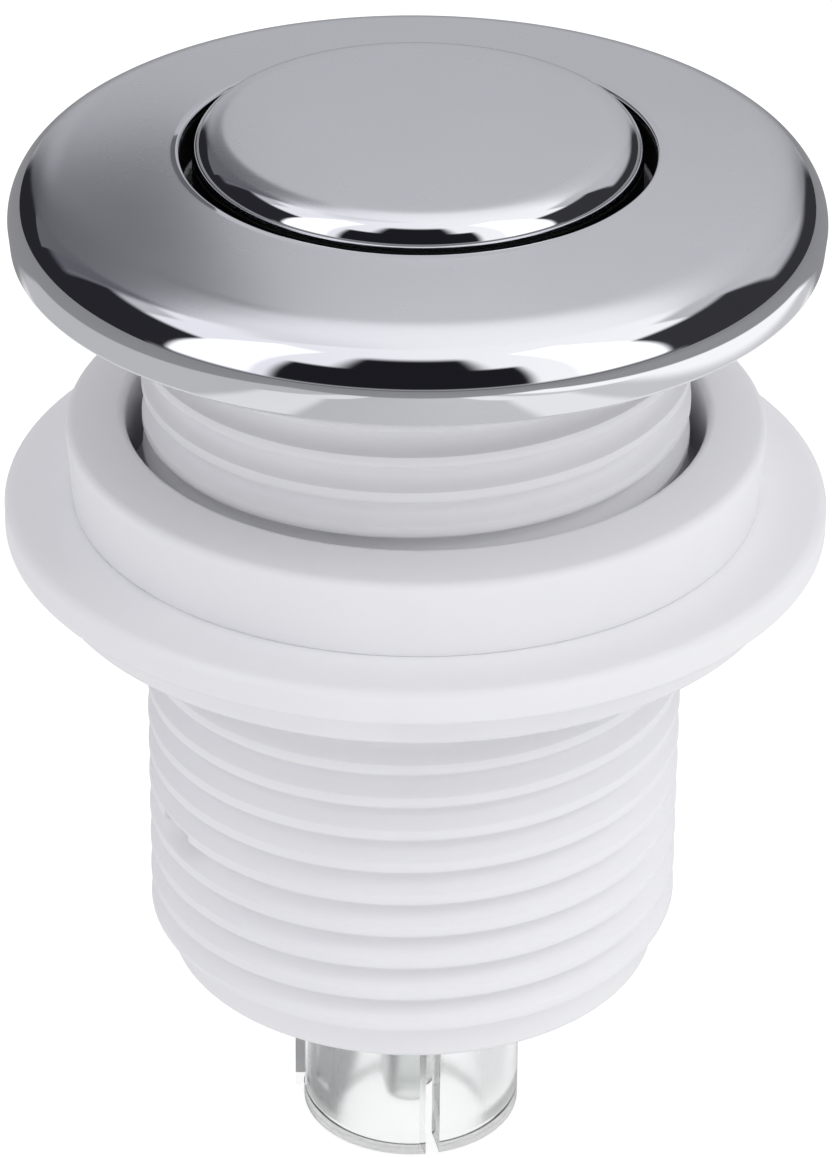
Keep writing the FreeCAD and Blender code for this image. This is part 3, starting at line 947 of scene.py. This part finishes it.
# Cards round the object, each: azimuth, half width, lowest and highest elevation, softness, colour
STUDIO_CARDS = (
    (180, 85, -30, 51, 5, rgb(0.52, 0.525, 0.55)),
    (180, 60, 5, 24, 12, rgb(0.45, 0.455, 0.48)),
    (-136, 22, 6, 58, 12, rgb(0.12, 0.12, 0.14)),
    (-105, 24, 66, 95, 12, rgb(0.75, 0.75, 0.78)),
    (-92, 24, -30, 40, 5, rgb(0.02, 0.02, 0.025)),
    (-132, 26, -30, 20, 8, rgb(0.02, 0.02, 0.025)),
    (92, 24, -30, 40, 5, rgb(0.035, 0.035, 0.04)),
    (132, 26, -30, 16, 8, rgb(0.035, 0.035, 0.04)),
    (-57, 12, 4, 66, 4, rgb(1.3, 1.3, 1.32)),
    (57, 13, 2, 66, 4, rgb(1.3, 1.3, 1.32)),
    (-4, 35, 2, 40, 5, rgb(0.012, 0.012, 0.016)),
    (-2, 22, 30, 64, 10, rgb(0.012, 0.012, 0.016)),
    (0, 75, -30, 2, 4, rgb(0.15, 0.15, 0.16)),
)


def card_mask(graph, azimuth, elevation, card):
    """1 inside a card, eased to 0 over its softness."""
    centre, half, lowest, highest, soft, _ = card
    aside = graph.math("SUBTRACT", azimuth, float(centre))
    aside = graph.math("ABSOLUTE", graph.math("WRAP", aside, 180.0, -180.0))
    across = graph.smooth(aside, half + soft / 2, half - soft / 2)
    bottom = graph.smooth(elevation, lowest - soft / 2, lowest + soft / 2)
    top = graph.smooth(elevation, highest + soft / 2, highest - soft / 2)
    return graph.math("MULTIPLY", across, graph.math("MULTIPLY", bottom, top))


def make_world():
    """White studio with grey and black cards, which only lights and reflections see."""
    world = bpy.data.worlds.new("studio")
    world.use_nodes = True
    bpy.context.scene.world = world
    graph = Graph(world.node_tree)
    world.node_tree.nodes.clear()
    where = graph.node("ShaderNodeTexCoord").outputs["Generated"]
    parts = graph.node("ShaderNodeSeparateXYZ", {"Vector": where})
    x, y, z = (parts.outputs[axis] for axis in "XYZ")
    azimuth = graph.math("DEGREES", graph.math("ARCTAN2", x, graph.math("MULTIPLY", y, -1.0)))
    elevation = graph.math("DEGREES", graph.math("ARCSINE", z))
    colour = graph.mix(graph.smooth(x, -0.9, 0.9), rgb(0.86, 0.86, 0.91), rgb(1.02, 1.02, 1.03))
    light = graph.mix(graph.smooth(x, -0.9, 0.9), rgb(0.76, 0.76, 0.80), rgb(0.86, 0.86, 0.875))
    for card in STUDIO_CARDS:
        colour = graph.mix(card_mask(graph, azimuth, elevation, card), colour, card[-1])
    rays = graph.node("ShaderNodeLightPath").outputs
    seen = graph.math("MAXIMUM", rays["Is Camera Ray"], rays["Is Transmission Ray"])
    colour = graph.mix(rays["Is Diffuse Ray"], colour, light)
    colour = graph.mix(seen, colour, WHITE)
    background = graph.node("ShaderNodeBackground", {"Color": colour, "Strength": 1.0})
    graph.node("ShaderNodeOutputWorld", {"Surface": background.outputs[0]})


def make_floor():
    """Pale floor under the switch, white to the eye but for the switch's soft shadow."""
    bm = bmesh.new()
    bmesh.ops.create_circle(bm, cap_ends=True, radius=FLOOR_R, segments=128)
    material = bpy.data.materials.new("floor")
    material.use_nodes = True
    material.node_tree.nodes.clear()
    graph = Graph(material.node_tree)
    where = graph.node("ShaderNodeTexCoord").outputs["Object"]
    parts = graph.node("ShaderNodeSeparateXYZ", {"Vector": where})
    across, along = parts.outputs["X"], parts.outputs["Y"]
    outward = graph.math("ABSOLUTE", across)
    side = graph.smooth(across, *TABLE_GREY)
    side = graph.math("ADD", side, graph.smooth(across, *TABLE_BRIGHT_RIGHT))
    side = graph.math("ADD", side, graph.smooth(outward, *TABLE_STRIP_FROM))
    side = graph.math("SUBTRACT", side, graph.smooth(outward, *TABLE_STRIP_TO))
    right_left = graph.smooth(outward, TABLE_SIDE + 0.01, TABLE_SIDE - 0.01)
    front = graph.smooth(along, -TABLE_FRONT - 0.02, -TABLE_FRONT + 0.02)
    back = graph.smooth(along, TABLE_BACK + 0.01, TABLE_BACK - 0.01)
    table = graph.math("MULTIPLY", right_left, graph.math("MULTIPLY", front, back))
    side = graph.math("MULTIPLY", side, table)
    left_grey = graph.smooth(across, *THROUGH_GREY_LEFT)
    right_grey = graph.smooth(across, *THROUGH_GREY_RIGHT)
    through = graph.math("SUBTRACT", FLOOR_THROUGH, graph.math("ADD", left_grey, right_grey))
    rays = graph.node("ShaderNodeLightPath").outputs
    glow = graph.math("MULTIPLY", rays["Is Camera Ray"], FLOOR_SEEN)
    glow = graph.math("MULTIPLY_ADD", rays["Is Transmission Ray"], through, glow)
    unbent = graph.math("SUBTRACT", 1.0, rays["Is Transmission Ray"])
    mirrored = graph.math("MULTIPLY", rays["Is Glossy Ray"], unbent)
    glow = graph.math("MULTIPLY_ADD", mirrored, side, glow)
    glow = graph.math("MULTIPLY_ADD", rays["Is Diffuse Ray"], FLOOR_LIGHT, glow)
    emission = graph.node("ShaderNodeEmission", {"Color": WHITE, "Strength": glow})
    grain = graph.noise(where, 40.0)
    paint = graph.mix(grain, rgb(0.30, 0.30, 0.305), rgb(0.33, 0.33, 0.33))
    diffuse = graph.node("ShaderNodeBsdfDiffuse", {"Color": paint})
    both = graph.node("ShaderNodeAddShader", {0: emission.outputs[0], 1: diffuse.outputs[0]})
    graph.node("ShaderNodeOutputMaterial", {"Surface": both.outputs[0]})
    floor = finish_mesh(bm, "floor", material)
    floor.location.z = cad_box[0].z


def make_flag():
    """Dark flag behind the switch on the left, seen only in the plated pieces."""
    bm = bmesh.new()
    left, right = FLAG_X
    foot, top = FLAG_Z
    corners = [(left, foot), (right, foot), (right, top), (left, top)]
    bm.faces.new([bm.verts.new((x * MM, FLAG_Y * MM, z * MM)) for x, z in corners])
    material = bpy.data.materials.new("flag")
    material.use_nodes = True
    material.node_tree.nodes.clear()
    graph = Graph(material.node_tree)
    emission = graph.node("ShaderNodeEmission", {"Color": FLAG_GREY, "Strength": 1.0})
    graph.node("ShaderNodeOutputMaterial", {"Surface": emission.outputs[0]})
    flag = finish_mesh(bm, "flag", material)
    flag.visible_camera = False
    flag.visible_diffuse = False
    flag.visible_transmission = False
    flag.visible_shadow = False


def make_lamp():
    """Soft square lamp that faces the switch."""
    data = bpy.data.lights.new("key", "AREA")
    data.size = LAMP_SIZE
    data.energy = LAMP_POWER
    lamp = bpy.data.objects.new("key", data)
    lamp.location = LAMP_AT
    lamp.rotation_euler = (-Vector(LAMP_AT)).to_track_quat("-Z", "Y").to_euler()
    lamp.visible_glossy = False
    bpy.context.scene.collection.objects.link(lamp)


def make_camera():
    """Camera at the photo's place, turned down and rolled as the photo is."""
    down, roll = math.radians(CAMERA_DOWN), math.radians(CAMERA_ROLL)
    level = Vector((1, 0, 0))
    up = Vector((0, math.sin(down), math.cos(down)))
    back = Vector((0, -math.cos(down), math.sin(down)))
    right = level * math.cos(roll) + up * math.sin(roll)
    above = up * math.cos(roll) - level * math.sin(roll)
    turn = Matrix((right, above, back)).transposed().to_4x4()
    data = bpy.data.cameras.new("camera")
    data.lens = CAMERA_LENS
    data.sensor_width = SENSOR_W
    data.sensor_fit = "HORIZONTAL"
    data.clip_start = 0.01
    data.clip_end = 20.0
    camera = bpy.data.objects.new("camera", data)
    camera.matrix_world = Matrix.Translation(Vector(CAMERA_AT) * MM) @ turn
    bpy.context.scene.collection.objects.link(camera)
    bpy.context.scene.camera = camera


make_camera()
make_world()
make_floor()
make_flag()
make_lamp()
dress_nodes()
make_bezel()
make_button()
make_body()
make_nut()
make_washer()
make_gasket()
make_connector()
make_spring()
make_bellows()

bpy.context.scene.view_settings.view_transform = "Standard"

bpy.context.view_layer.update()
